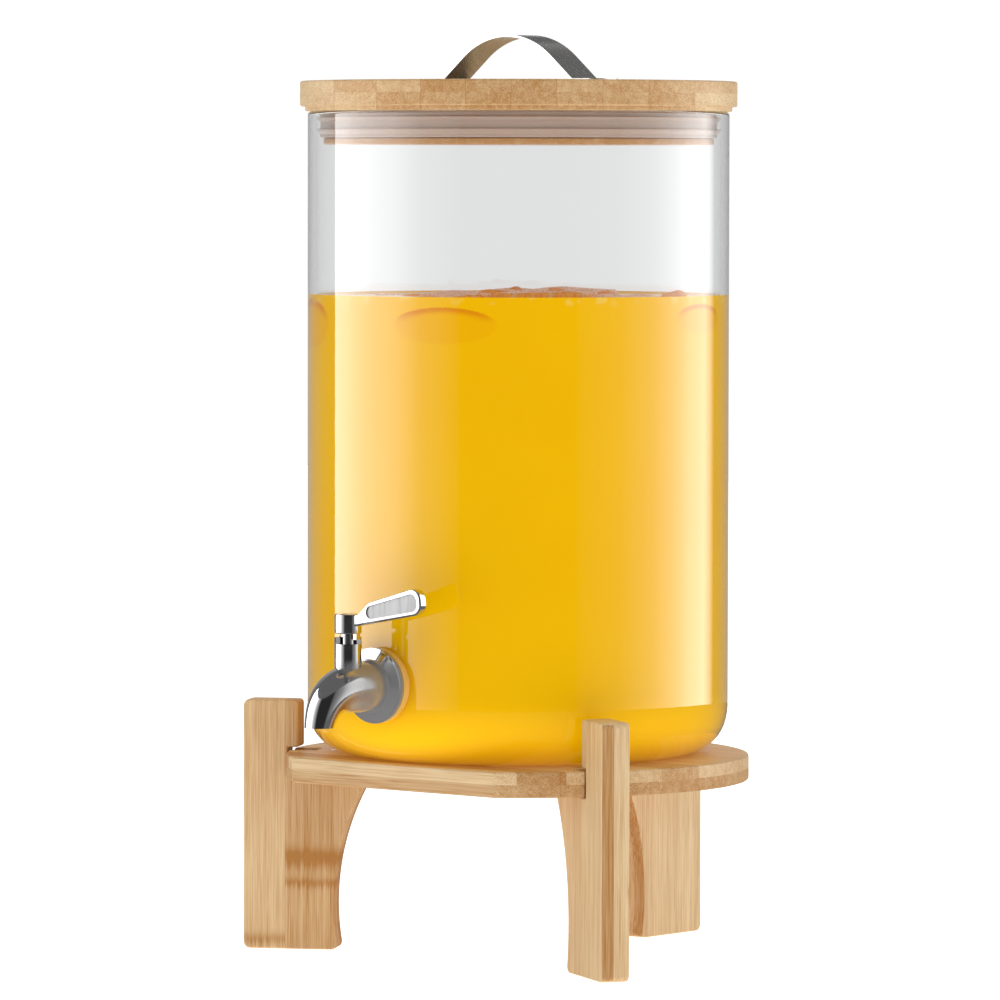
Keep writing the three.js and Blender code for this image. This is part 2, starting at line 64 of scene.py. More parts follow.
PLATFORM_BOTTOM, PLATFORM_TOP = (corner.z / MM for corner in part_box("platform"))
PLATFORM_RADIUS = 110
PLATFORM_FLAT = 91  # the straight front edge
NOTCH_RADIUS = 96  # floor of the notch for each leg
NOTCH_WIDTH = 14.1
LEG_ANGLES = {"leg_front_right": -30, "leg_rear": 90, "leg_front_left": -150}
LEG_THICKNESS = 14
LEG_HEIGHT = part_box("leg_rear")[1].z / MM
LEG_OUTER_RADIUS = 132
LEG_CORNER = 3
TAB_INNER_RADIUS = 105  # of the tab that stands beside the jar
SLOT_END_RADIUS = 110.5  # of the slot that takes the platform
SLOT_TOP = PLATFORM_TOP + 1.3
HOLLOW_RADIUS = 118  # of the curve of a leg's inner edge
HOLLOW_HEIGHT = 22  # where the leg is narrowest
HOLLOW_REACH = 87.8  # of the inner edge at that height
LEG_SCREW_REACH = 87
LEG_SCREW = (4, 2, 34)  # radii of the head and the shank, and length
LEG_SCREW_HOLE = (4.4, 2.3, 2, 20)  # radii of the sink and the hole, and depths of cone and hole
WOOD_ROUNDING = 1.1

LID_FOOT, LID_TOP = (corner.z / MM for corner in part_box("lid_disc"))
LID_RADIUS = 103.6
LID_STEP = 2.2  # height of the step under its edge
LID_STEP_RADIUS = 101.2
PLUG_BOTTOM, PLUG_TOP = (corner.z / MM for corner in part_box("lid_plug"))
PLUG_RADIUS = 89
PLUG_FLANGE_RADIUS = 92.5
PLUG_FLANGE = 3  # its thickness
SEAL_BOTTOM, SEAL_TOP = (corner.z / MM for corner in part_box("lid_seal"))
SEAL_RADIUS = 95.7

STRAP_FLOOR, STRAP_TOP = (corner.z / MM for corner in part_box("strap_handle"))
STRAP_RADIUS = 43  # of the arch, outside
STRAP_SLOPE = 40  # degrees from the lid to the straight parts
STRAP_WIDTH = 18.7
STRAP_THICKNESS = 1
STRAP_FOOT = 16
STRAP_CORNER = 6.5
STRAP_SCREW = (3.2, 1.6, 11)
STRAP_SCREW_HOLE = (3.5, 1.9, 1.6, 8)

# Tap: radii are from the part's own axis, reaches from the jar's axis, and heights from the tap's axis.
TAP_HEIGHT = PLATFORM_TOP + 37.7  # of that axis, from the floor
STEM_REACH = 122
SHANK_END = 77  # its reach, inside the jar
SHANK_RADIUS = 8
FLANGE_REAR = 102.6
FLANGE_RADIUS = 17.75
BARREL_RADIUS = 12
OUTLET_RADIUS = 6.57
OUTLET_BOTTOM = -17.4
OUTLET_BORE = 4.2  # its radius at the barrel
POST_RADIUS = 6.35
POST_TOP = 23.6
STEM_BORE = 4.35
STEM_RADIUS = 4.2
SEAL_GROOVE_RADIUS = 3.1
SEAL_GROOVES = (8, 13.5)  # heights of their middles
SEAL_GROOVE_WIDTH = 1.6
NOTCH_FLOOR = 20.4  # of the notch in the post's rim that the lever's tab swings in
NOTCH_MARGIN = 18  # degrees beyond the sweep at each end
NECK_RADIUS = 3.4
CAP_RADIUS = 6.3
CAP_BOTTOM = 25.2
CAP_TOP = 34.4
LEVER_THICKNESS = 4.8
LEVER_SWEEP = 90  # degrees
PANEL_DEPTH = 0.6  # of the recess in the blade
LEVER_SCREW = (2.6, 1.3, 9)
LEVER_SCREW_HOLE = (2.9, 1.7, 1.2, 9)

JUICE_LEVEL = 312.7
JUICE_OVERLAP = 0.15  # into the glass, so that no air shows between the two
MENISCUS = 1.0  # climb of the juice at the wall

# --- Meshes ------------------------------------------------------------------------------------


def fillet(corners, open_ended=False, steps=6):
    """The outline through corners (x, y), or (x, y, radius) where an arc stands for the corner."""
    places = [Vector(corner[:2]) for corner in corners]
    count = len(places)
    points = []
    for i, place in enumerate(places):
        radius = corners[i][2] if len(corners[i]) > 2 else 0
        if not radius or (open_ended and i in (0, count - 1)):
            points.append(place)
            continue
        before = (places[i - 1] - place).normalized()
        after = (places[(i + 1) % count] - place).normalized()
        half = before.angle(after) / 2
        centre = place + (before + after).normalized() * radius / math.sin(half)
        first = place + before * radius / math.tan(half) - centre
        last = place + after * radius / math.tan(half) - centre
        turn = math.atan2(first.x * last.y - first.y * last.x, first.dot(last))
        for step in range(steps + 1):
            points.append(centre + Matrix.Rotation(turn * step / steps, 2) @ first)
    return points


def towards(degrees, reach=1.0):
    """A point level with the origin, at a reach in a direction from +X."""
    angle = math.radians(degrees)
    return Vector((reach * math.cos(angle), reach * math.sin(angle), 0))


def circle(radius, sides):
    return [towards(360 * i / sides, radius) for i in range(sides)]


def skin(bm, rings, closed=False):
    """Faces between neighbouring rings of vertices. A ring of one vertex closes to a point."""
    pairs = list(zip(rings, rings[1:]))
    if closed:
        pairs.append((rings[-1], rings[0]))
    for one, other in pairs:
        sides = max(len(one), len(other))
        for i in range(sides):
            j = (i + 1) % sides
            corners = [
                one[i % len(one)],
                one[j % len(one)],
                other[j % len(other)],
                other[i % len(other)],
            ]
            bm.faces.new(list(dict.fromkeys(corners)))
    bmesh.ops.recalc_face_normals(bm, faces=bm.faces)
    if bm.calc_volume(signed=True) < 0:
        bmesh.ops.reverse_faces(bm, faces=bm.faces)
    return bm


def rectangle(left, low, right, high):
    return [(left, low), (right, low), (right, high), (left, high)]


def lathe(profile, sides):
    """A solid of revolution about Z from (radius, height) points, or a ring from a closed outline."""
    closed = (Vector(profile[0]) - Vector(profile[-1])).length < 1e-6
    bm = bmesh.new()
    rings = []
    for radius, height in profile[: -1 if closed else None]:
        around = circle(radius, sides if radius > 1e-6 else 1)
        rings.append([bm.verts.new(point + Vector((0, 0, height))) for point in around])
    return skin(bm, rings, closed)


def prism(points, low, high, upright=False):
    """A flat outline raised along Z, or an upright one, in X and Z, raised along Y."""
    bm = bmesh.new()
    ends = []
    for level in (low, high):
        places = [(x, level, y) if upright else (x, y, level) for x, y in points]
        ends.append([bm.verts.new(place) for place in places])
    for end in ends:
        bm.faces.new(end)
    return skin(bm, ends)


def bar(centres, directions, radii, sides):
    """A round bar through centres in the XZ plane, with each section square to its direction."""
    bm = bmesh.new()
    rings = []
    for centre, direction, radius in zip(centres, directions, radii):
        across = Vector((direction.z, 0, -direction.x)).normalized()
        section = [across * point.x + Vector((0, point.y, 0)) for point in circle(radius, sides)]
        rings.append([bm.verts.new(centre + offset) for offset in section])
    bm.faces.new(rings[0])
    bm.faces.new(rings[-1])
    return skin(bm, rings)


def moved(bm, move=(0, 0, 0), turn=0, axis="Z"):
    """The mesh turned about an axis in degrees, and then moved."""
    bm.transform(Matrix.Translation(move) @ Matrix.Rotation(math.radians(turn), 4, axis))
    return bm


def softened(bm, radius):
    """The mesh with its sharp edges rounded."""
    sharp = [edge for edge in bm.edges if edge.calc_face_angle() > math.radians(50)]
    bmesh.ops.bevel(
        bm,
        geom=sharp,
        offset=radius,
        segments=3,
        profile=0.5,
        affect="EDGES",
        clamp_overlap=True,
    )
    return bm


def linked(name, data):
    """An object in the scene."""
    made = bpy.data.objects.new(name, data)
    scene.collection.objects.link(made)
    return made


def finished(name, bm):
    """A Blender mesh from one that is drawn, which is freed."""
    mesh = bpy.data.meshes.new(name)
    bm.to_mesh(mesh)
    bm.free()
    return mesh


def combined(bm, tool, operation):
    """The first mesh with the second joined to it (UNION) or cut away (DIFFERENCE)."""
    target = linked("target", finished("target", bm))
    cutter = linked("cutter", finished("cutter", tool))
    modifier = target.modifiers.new("combine", "BOOLEAN")
    modifier.operation = operation
    modifier.object = cutter
    modifier.solver = "MANIFOLD"
    bpy.context.view_layer.update()
    result = bmesh.new()
    result.from_object(target, bpy.context.evaluated_depsgraph_get())
    for used in (target, cutter):
        mesh = used.data
        bpy.data.objects.remove(used)
        bpy.data.meshes.remove(mesh)
    return result


def joined(bm, *others):
    for other in others:
        bm = combined(bm, other, "UNION")
    return bm


def cut(bm, *tools):
    for tool in tools:
        bm = combined(bm, tool, "DIFFERENCE")
    return bm


def piece(name, bm, materials, body, replaces=(), place=AXIS, turn=0, sharp=38):
    """A shown object from a mesh in mm, at a place and a turn about Z. It rides on a body and stands
    for some CAD nodes."""
    bm.transform(Matrix.Scale(MM, 4))
    mesh = finished(name, bm)
    mesh.shade_smooth()
    mesh.set_sharp_from_angle(angle=math.radians(sharp))
    made = linked(name, mesh)
    for material in materials if isinstance(materials, (list, tuple)) else [materials]:
        mesh.materials.append(material)
    made.location = place * MM
    made.rotation_euler.z = math.radians(turn)
    smoothing = made.modifiers.new("broad faces stay flat", "WEIGHTED_NORMAL")
    smoothing.keep_sharp = True
    smoothing.weight = 100
    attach(made, body)
    if replaces:
        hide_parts(*replaces)
    return made


# --- Materials ---------------------------------------------------------------------------------


class Graph:
    """Short calls for building the nodes of one material."""

    def __init__(self, name):
        self.material = bpy.data.materials.new(name)
        self.material.use_nodes = True
        self.tree = self.material.node_tree
        self.shader = self.tree.nodes["Principled BSDF"]

    def put(self, socket, value):
        """A link from another node's output, or else a constant."""
        if isinstance(value, bpy.types.NodeSocket):
            self.tree.links.new(value, socket)
        else:
            socket.default_value = value

    def set(self, **values):
        """Inputs of the Principled shader, with _ for each space in their names."""
        for name, value in values.items():
            self.put(self.shader.inputs[name.replace("_", " ")], value)

    def node(self, kind, inputs=(), **settings):
        made = self.tree.nodes.new("ShaderNode" + kind)
        for name, value in settings.items():
            setattr(made, name, value)
        for name, value in dict(inputs).items():
            self.put(made.inputs[name], value)
        return made

    def math(self, operation, *values):
        made = self.node("Math", operation=operation)
        for socket, value in zip(made.inputs, values):
            self.put(socket, value)
        return made.outputs[0]

    def add(self, one, other):
        return self.math("ADD", one, other)

    def subtract(self, one, other):
        return self.math("SUBTRACT", one, other)

    def multiply(self, one, other):
        return self.math("MULTIPLY", one, other)

    def divide(self, one, other):
        return self.math("DIVIDE", one, other)

    def ramp(self, value, low, high, start=0.0, end=1.0):
        """A value between low and high, taken smoothly to one between start and end."""
        made = self.node("MapRange", interpolation_type="SMOOTHSTEP")
        for socket, number in zip(made.inputs, (value, low, high, start, end)):
            self.put(socket, number)
        return made.outputs[0]

    def mix(self, share, one, other):
        """A colour between two. The sockets for colours are the node's inputs 6 and 7 and output 2."""
        made = self.node("Mix", data_type="RGBA")
        for index, value in ((0, share), (6, one), (7, other)):
            self.put(made.inputs[index], value)
        return made.outputs[2]

    def vector_math(self, operation, one, other, output="Vector"):
        return self.node("VectorMath", {0: one, 1: other}, operation=operation).outputs[output]

    def millimetres(self, turn=0):
        """X, Y and Z of the object's own space in mm, or of one turned about Z."""
        place = self.node("TexCoord").outputs["Object"]
        if turn:
            inputs = {"Vector": place, "Angle": -math.radians(turn)}
            place = self.node("VectorRotate", inputs, rotation_type="Z_AXIS").outputs[0]
        parts = self.node("SeparateXYZ", {"Vector": place}).outputs
        return [self.multiply(part, 1 / MM) for part in parts]

    def vector(self, x, y, z):
        return self.node("CombineXYZ", {"X": x, "Y": y, "Z": z}).outputs[0]

    def noise(self, vector, scale, detail=2.0, roughness=0.5):
        inputs = {"Vector": vector, "Scale": scale, "Detail": detail, "Roughness": roughness}
        return self.node("TexNoise", inputs).outputs["Fac"]

    def bump(self, height, strength, depth_mm):
        inputs = {"Height": height, "Strength": strength, "Distance": depth_mm * MM}
        self.set(Normal=self.node("Bump", inputs).outputs["Normal"])


BAMBOO_LIGHT = (0.76, 0.572, 0.33, 1)
BAMBOO_BROWN = (0.41, 0.18, 0.036, 1)


def brown_band(g, knot, along, across, fine):
    """A knot (start, end, middle, width): 1 at its wavering middle and less away from it, between
    the places start and end across the strips."""
    start, end, middle, width = knot
    inside = g.multiply(g.math("GREATER_THAN", across, start), g.math("LESS_THAN", across, end))
    wander = g.multiply(g.subtract(fine, 0.5), 9.0)
    off = g.divide(g.add(g.subtract(along, middle), wander), width)
    band = g.math("EXPONENT", g.multiply(g.multiply(off, off), -1.0))
    return g.multiply(band, inside)


def facing(g, direction, low, high):
    """1 where the object's surface faces along a direction or against it."""
    match = g.vector_math("DOT_PRODUCT", g.node("TexCoord").outputs["Normal"], direction, "Value")
    return g.ramp(g.math("ABSOLUTE", match), low, high)


def bamboo(
    name, axes, strip, split, seed, base=0.22, spread=0.16, knots=(), dark_edge=0.0, dark_ends=0.0,
    under=0.0, turn=0,
):
    """Bamboo laminated from two layers of strips.

    axes: the object's axes along the grain, across the strips and through the layers, such as "XYZ".
    strip: width of a strip. split: where the second layer starts.
    base and spread: how brown the palest strip is, and how much browner the brownest.
    knots: brown bands (start, end, middle, width, depth) in the second layer, for brown_band.
    dark_edge, dark_ends and under: how much browner the first layer's edge that faces along X,
    the end grain, and the whole first layer are.
    turn: degrees from the object's X to the X of the grain.
    """
    g = Graph(name)
    by_name = dict(zip("XYZ", g.millimetres(turn)))
    along, across, through = (by_name[axis] for axis in axes)
    layer = g.math("GREATER_THAN", through, split)
    first_layer = g.subtract(1.0, layer)
    place = g.divide(across, strip)
    draw = g.node("TexWhiteNoise", {"Vector": g.vector(g.math("FLOOR", place), layer, float(seed))})
    apart = g.vector_math("MULTIPLY", draw.outputs["Color"], (90, 90, 90))  # no two strips match

    def stretched(share):
        return g.vector_math("ADD", g.vector(g.multiply(along, share), across, through), apart)

    fine = g.noise(stretched(0.018), 1.5, 3.0, 0.65)
    broad = g.noise(stretched(0.006), 0.34, 2.0)
    cloud = g.noise(stretched(0.5), 0.045, 1.0)
    bundles = g.node("TexVoronoi", {"Vector": stretched(0.03), "Scale": 1.15, "Randomness": 1.0})
    pores = g.ramp(bundles.outputs["Distance"], 0.14, 0.36, 1.0, 0.0)
    seam = g.math("FRACT", place)
    seam = g.math("MINIMUM", seam, g.subtract(1.0, seam))
    seam = g.ramp(seam, 0.1 / strip, 0.35 / strip, 1.0, 0.0)

    waves = ((fine, 1.25), (broad, 0.6), (cloud, 0.35))
    browns = [(g.subtract(wave, 0.5), weight) for wave, weight in waves]
    browns += [(pores, 0.2), (seam, 0.16), (first_layer, under)]
    for *knot, depth in knots:
        browns.append((g.multiply(brown_band(g, knot, along, across, fine), layer), depth))
    if dark_edge:
        browns.append((g.multiply(facing(g, (1, 0, 0), 0.6, 0.8), first_layer), dark_edge))
    if dark_ends:
        browns.append((facing(g, towards(turn), 0.35, 0.85), dark_ends))
    share = g.math("MULTIPLY_ADD", draw.outputs["Value"], spread, base)
    for brown, weight in browns:
        share = g.math("MULTIPLY_ADD", brown, weight, share)
    share = g.math("MINIMUM", g.math("MAXIMUM", share, 0.0), 1.0)
    g.set(Base_Color=g.mix(share, BAMBOO_LIGHT, BAMBOO_BROWN))
    g.set(Roughness=g.ramp(fine, 0.3, 0.7, 0.38, 0.55), Specular_IOR_Level=0.5)
    g.bump(g.subtract(fine, g.multiply(pores, 0.6)), 0.35, 0.12)
    return g.material


def steel(name, colour, low, high, grain=(1, 1, 1), scale=0.25, bump=0.0):
    """Steel whose roughness wanders between low and high, along a grain where that isn't even."""
    g = Graph(name)
    stretched = g.vector(*(g.multiply(part, share) for part, share in zip(g.millimetres(), grain)))
    wave = g.noise(stretched, scale, 3.0, 0.6)
    g.set(Base_Color=(*colour, 1), Metallic=1.0, Roughness=g.ramp(wave, 0.3, 0.7, low, high))
    if bump:
        g.bump(wave, bump, 0.05)
    return g.material


def cast_steel():
    """The tap's casting: polished, and rougher towards the flange, where a painted grey stands in for
    its reflections.
    """
    g = Graph("cast_steel")
    x, y, z = g.millimetres()
    wave = g.noise(g.vector(x, y, z), 0.25, 3.0)
    satin_painted_grey = g.ramp(x, STEM_REACH - 3, STEM_REACH + 12, 1.0, 0.0)
    satin_painted_grey = g.multiply(satin_painted_grey, g.ramp(z, BARREL_RADIUS - 3, BARREL_RADIUS + 2, 1.0, 0.0))
    # Painted reflection: towards the flange the steel turns a darker, partly diffuse grey in place of
    # the dull reflections there. It is also rougher there.
    g.set(Base_Color=g.mix(satin_painted_grey, (0.66, 0.66, 0.67, 1), (0.34, 0.34, 0.345, 1)))
    g.set(Metallic=g.math("MULTIPLY_ADD", satin_painted_grey, -0.45, 1.0))
    g.set(Roughness=g.math("MULTIPLY_ADD", satin_painted_grey, 0.1, g.ramp(wave, 0.3, 0.7, 0.06, 0.12)))
    return g.material


def clear_glass(name, coat):
    g = Graph(name)
    wave = g.noise(g.vector(*g.millimetres()), 0.02, 1.0)
    g.set(Base_Color=(0.985, 0.992, 0.99, 1), Transmission_Weight=1.0, IOR=1.48)
    g.set(Roughness=g.ramp(wave, 0.3, 0.7, 0.0, 0.012))
    g.set(Coat_Weight=coat, Coat_IOR=1.5, Coat_Roughness=0.0)
    return g.material


def silicone(name, colour, scatter):
    g = Graph(name)
    wave = g.noise(g.vector(*g.millimetres()), 0.3, 2.0)
    darker = tuple(0.88 * part for part in colour)
    g.set(Base_Color=g.mix(wave, (*colour, 1), (*darker, 1)))
    g.set(Roughness=g.ramp(wave, 0.3, 0.7, 0.28, 0.4))
    g.set(Subsurface_Weight=scatter, Subsurface_Radius=(1.0, 0.5, 0.25), Subsurface_Scale=0.004)
    g.bump(wave, 0.1, 0.1)
    return g.material


JUICE = (0.87, 0.48, 0.001, 1)
JUICE_DEEP = (0.80, 0.34, 0.001, 1)
JUICE_PALE = (0.86, 0.56, 0.10, 1)
RIND = (0.70, 0.215, 0.004, 1)
PAINTED_FOOT_GLOW = 0.3  # painted glow of the juice near the jar's foot, standing in for light from below
# Slices that lean on the glass: azimuth, height of the middle, half the width and half the height.
PRESSED_SLICES = ((-71, 300.5, 27, 8.5), (-128, 300, 24, 12), (10, 303, 20, 7), (95, 299, 28, 10))


def juice_in_glass():
    """Opaque juice as seen through the glass, with the rinds of slices that lean on the wall, and a
    painted glow near the jar's foot.
    """
    g = Graph("juice")
    x, y, z = g.millimetres()
    vector = g.vector(x, y, z)
    cloud = g.noise(vector, 0.012, 2.0)
    pulp = g.noise(vector, 0.9, 3.0, 0.65)
    colour = g.mix(g.ramp(cloud, 0.3, 0.75, 0.0, 0.16), JUICE, JUICE_DEEP)
    azimuth = g.math("ARCTAN2", y, x)
    for angle, height, half_width, half_height in PRESSED_SLICES:
        turn = g.subtract(azimuth, math.radians(angle))
        sideways = g.divide(g.multiply(turn, JAR_RADIUS), half_width)
        upwards = g.divide(g.subtract(z, height), half_height)
        upwards = g.math("MULTIPLY_ADD", g.subtract(pulp, 0.5), 0.16, upwards)
        far = g.add(g.multiply(sideways, sideways), g.multiply(upwards, upwards))
        rind = g.multiply(g.ramp(far, 0.30, 0.8), g.ramp(far, 0.93, 1.06, 1.0, 0.0))
        rind = g.multiply(rind, g.ramp(upwards, 0.1, 0.75))
        colour = g.mix(g.ramp(far, 0.85, 1.05, 0.3, 0.0), colour, JUICE_DEEP)
        colour = g.mix(g.multiply(rind, 0.8), colour, RIND)
    foam = g.ramp(g.noise(vector, 0.16, 2.0), 0.52, 0.66)
    foam = g.multiply(foam, g.ramp(z, JUICE_LEVEL - 4.5, JUICE_LEVEL - 0.5, 0.0, 0.75))
    g.set(Base_Color=g.mix(foam, colour, JUICE_PALE), Roughness=g.ramp(pulp, 0.3, 0.7, 0.5, 0.6))
    g.set(Specular_IOR_Level=0.0, Emission_Color=JUICE)
    # Painted light: near the jar's foot the juice glows in its own colour, in place of light from
    # below.
    g.set(Emission_Strength=g.ramp(z, JAR_BOTTOM + 10, JAR_BOTTOM + 34, PAINTED_FOOT_GLOW, 0.0))
    g.bump(pulp, 0.06, 0.2)
    return g.material


def juice_surface():
    g = Graph("juice_surface")
    vector = g.vector(*g.millimetres())
    pulp = g.noise(vector, 0.22, 3.0)
    g.set(Base_Color=g.mix(g.ramp(pulp, 0.4, 0.75, 0.0, 0.7), JUICE, JUICE_PALE), IOR=1.34)
    g.set(Roughness=g.ramp(pulp, 0.3, 0.7, 0.04, 0.2))
    g.bump(pulp, 0.3, 0.4)
    return g.material


PEEL_DEEP = (0.82, 0.27, 0.015, 1)
PEEL_PALE = (0.92, 0.42, 0.05, 1)
FLESH_DEEP = (0.85, 0.27, 0.012, 1)
FLESH_PALE = (0.93, 0.45, 0.04, 1)
MEMBRANE = (0.83, 0.52, 0.24, 1)
CORE = (0.85, 0.6, 0.33, 1)
PITH = (0.9, 0.6, 0.25, 1)
ZEST = (0.88, 0.32, 0.01, 1)
SEGMENTS = 10


def orange_flesh(radius):
    """A slice's cut face and rind: juice cells in segments, pale membranes, pith and zest."""
    g = Graph("orange_slice")
    x, y, z = g.millimetres()
    far = g.math("SQRT", g.add(g.multiply(x, x), g.multiply(y, y)))
    far = g.divide(far, radius)
    cells = g.noise(g.vector(x, y, g.multiply(z, 0.4)), 0.55, 3.0, 0.6)
    turn = g.divide(g.math("ARCTAN2", y, x), math.tau / SEGMENTS)
    wall = g.math("ABSOLUTE", g.subtract(g.math("FRACT", g.add(turn, 0.5)), 0.5))
    wall = g.ramp(g.multiply(wall, far), 0.02, 0.06, 0.8, 0.0)
    flesh = g.mix(g.ramp(cells, 0.35, 0.7), FLESH_DEEP, FLESH_PALE)
    flesh = g.mix(wall, flesh, MEMBRANE)
    flesh = g.mix(g.ramp(far, 0.06, 0.12, 1.0, 0.0), flesh, CORE)
    rim = g.mix(g.ramp(far, 0.92, 0.95), PITH, ZEST)
    g.set(Base_Color=g.mix(g.ramp(far, 0.85, 0.88), flesh, rim))
    g.set(Roughness=g.ramp(cells, 0.3, 0.7, 0.2, 0.4))
    g.bump(cells, 0.6, 0.5)
    return g.material


def peel():
    g = Graph("orange_peel")
    dimples = g.node("TexVoronoi", {"Vector": g.vector(*g.millimetres()), "Scale": 0.9})
    pits = dimples.outputs["Distance"]
    g.set(Base_Color=g.mix(pits, PEEL_DEEP, PEEL_PALE), Roughness=g.ramp(pits, 0.1, 0.6, 0.3, 0.45))
    g.bump(pits, 0.7, 0.4)
    return g.material


# The grain of the legs runs up, and that of the boards along X. Each knot gives where it starts and
# ends across the strips, its middle along them, its width, and how brown it is.
LEG_STRIP = 22.3
LEG_SPLIT = -0.9  # across a leg's thickness
PLATFORM_STRIP = 23.4
PLATFORM_MIDDLE = (PLATFORM_BOTTOM + PLATFORM_TOP) / 2
LID_STRIP = 21.0
LID_MIDDLE = (LID_FOOT + LID_STEP + LID_TOP) / 2
PLUG_MIDDLE = (PLUG_BOTTOM + PLUG_TOP) / 2
LID_GRAIN = -52  # degrees from +X
WHOLE = 400  # width of a knot that browns a strip from end to end
LEG_SEAM = 5 * LEG_STRIP  # reach where a leg's brown inner strips end and the pale outer one starts
LEG_KNOTS = (
    (0, LEG_SEAM, 44, 4.5, 0.5),
    (0, LEG_SEAM, 32, 2.2, 0.36),
    (LEG_SEAM, LEG_OUTER_RADIUS, 4.5, 3.0, 0.42),
)
BROWN_PLATFORM_STRIPS = ((-84.5, -68, 0, WHOLE, 0.5), (-PLATFORM_STRIP, 0, 0, WHOLE, 0.3))

leg_bamboo = {}
for name, seed, rise in (("leg_front_left", 3, 0), ("leg_front_right", 8, 37), ("leg_rear", 12, 61)):
    knots = [(0, LEG_SEAM, LEG_HEIGHT / 2, WHOLE, 0.24)]
    for start, end, middle, width, depth in LEG_KNOTS:
        knots.append((start, end, (middle + rise) % 110, width, depth))
    leg_bamboo[name] = bamboo(
        name + "_bamboo",
        "ZXY",
        LEG_STRIP,
        LEG_SPLIT,
        seed,
        base=0.2,
        spread=0.12,
        knots=knots,
        dark_edge=0.55,
    )
platform_bamboo = bamboo(
    "platform_bamboo",
    "XYZ",
    PLATFORM_STRIP,
    PLATFORM_MIDDLE,
    seed=5,
    spread=0.12,
    knots=BROWN_PLATFORM_STRIPS,
    dark_ends=0.12,
    under=0.36,
)
lid_bamboo = bamboo(
    "lid_bamboo",
    "XYZ",
    LID_STRIP,
    LID_MIDDLE,
    seed=21,
    base=0.14,
    spread=0.3,
    dark_ends=0.34,
    turn=LID_GRAIN,
)
# The plug's bamboo is much browner than the other boards: its own colour plus a painted orange tint in
# place of light from the juice.
juice_lit_plug_bamboo = bamboo("juice_lit_plug_bamboo", "XYZ", LID_STRIP, PLUG_MIDDLE, seed=31, base=0.85, turn=LID_GRAIN)
outer_glass = clear_glass("glass_outside", coat=0.7)
inner_glass = clear_glass("glass_inside", coat=0.0)
chrome = steel("polished_tap", (0.72, 0.72, 0.73), 0.09, 0.15)
cast_panel = steel("lever_panel", (0.4, 0.4, 0.4), 0.32, 0.5, (1, 1, 0.05), scale=1.3, bump=0.5)
strap_steel = steel("brushed_strap", (0.62, 0.61, 0.60), 0.16, 0.3, (0.03, 1, 1), scale=1.2, bump=0.1)
fastener_steel = steel("fasteners", (0.66, 0.65, 0.64), 0.2, 0.35, scale=0.8)
seal_silicone = silicone("seal_silicone", (0.42, 0.30, 0.235), scatter=0.15)
gasket_silicone = silicone("gasket_silicone", (0.80, 0.47, 0.12), scatter=0.4)

# --- Stand -------------------------------------------------------------------------------------


def leg_mesh():
    """A leg in the XZ plane, with a hollow inner edge, a slot for the platform and a tab over it."""
    shoulder = PLATFORM_BOTTOM - 0.1

    def inner(height):
        depth = HOLLOW_RADIUS - math.sqrt(HOLLOW_RADIUS**2 - (height - HOLLOW_HEIGHT) ** 2)
        return HOLLOW_REACH - depth

    heights = [shoulder + (6 - shoulder) * step / 24 for step in range(25)]
    outline = fillet(
        [
            *((inner(height), height) for height in heights),
            (inner(0), 0, LEG_CORNER),
            (LEG_OUTER_RADIUS, 0, LEG_CORNER),
            (LEG_OUTER_RADIUS, LEG_HEIGHT, LEG_CORNER),
            (TAB_INNER_RADIUS, LEG_HEIGHT, 2),
            (TAB_INNER_RADIUS, SLOT_TOP),
            (SLOT_END_RADIUS, SLOT_TOP),
            (SLOT_END_RADIUS, shoulder),
        ],
        steps=5,
    )
    board = prism(outline, -LEG_THICKNESS / 2, LEG_THICKNESS / 2, upright=True)
    return softened(board, WOOD_ROUNDING)


def screw_mesh(head, shank, length):
    """A countersunk screw with a cross recess, the top of its head at z = 0."""
    profile = [
        (0, -length),
        (shank, 2 * shank - length),
        (shank, shank - head),
        (head, -0.15),
        (head - 0.15, 0),
        (0, 0),
    ]
    slots = [rectangle(-x, -y, x, y) for x, y in ((head / 2, head / 9), (head / 9, head / 2))]
    return cut(lathe(profile, 32), *(prism(slot, -0.8, 1) for slot in slots))


def screw_hole(sink, shank, cone, depth):
    """A hole for a countersunk screw, to cut from a piece whose surface is at z = 0."""
    return lathe([(0, -depth), (shank, -depth), (shank, -cone), (sink, 0), (sink, 5), (0, 5)], 32)


def platform_mesh():
    """A round board with a straight front edge, and a notch and a screw hole for each leg."""
    front = math.degrees(math.acos(PLATFORM_FLAT / PLATFORM_RADIUS))
    sweep = 360 - 2 * front
    outline = [towards(front - 90 + sweep * step / 150, PLATFORM_RADIUS).xy for step in range(151)]
    board = softened(prism(outline, PLATFORM_BOTTOM, PLATFORM_TOP), WOOD_ROUNDING)
    half = NOTCH_WIDTH / 2
    notch = rectangle(NOTCH_RADIUS, -half, NOTCH_RADIUS + 30, half)
    sink = (LEG_SCREW_REACH, 0, PLATFORM_TOP)
    cuts = []
    for turn in LEG_ANGLES.values():
        cuts.append(moved(prism(notch, PLATFORM_BOTTOM - 5, PLATFORM_TOP + 5), turn=turn))
    for turn in LEG_ANGLES.values():
        cuts.append(moved(moved(screw_hole(*LEG_SCREW_HOLE), sink), turn=turn))
    return cut(board, *cuts)


piece("platform_board", platform_mesh(), platform_bamboo, "stand", ["platform"])
for name, angle in LEG_ANGLES.items():
    piece(name + "_board", leg_mesh(), leg_bamboo[name], "stand", [name], turn=angle)
    node = name.replace("leg", "leg_screw")
    spot = AXIS + towards(angle, LEG_SCREW_REACH) + Vector((0, 0, PLATFORM_TOP - 0.1))
    screw = screw_mesh(*LEG_SCREW)
    piece(node + "_head", screw, fastener_steel, "stand", [node], spot)

# --- Jar and juice -----------------------------------------------------------------------------


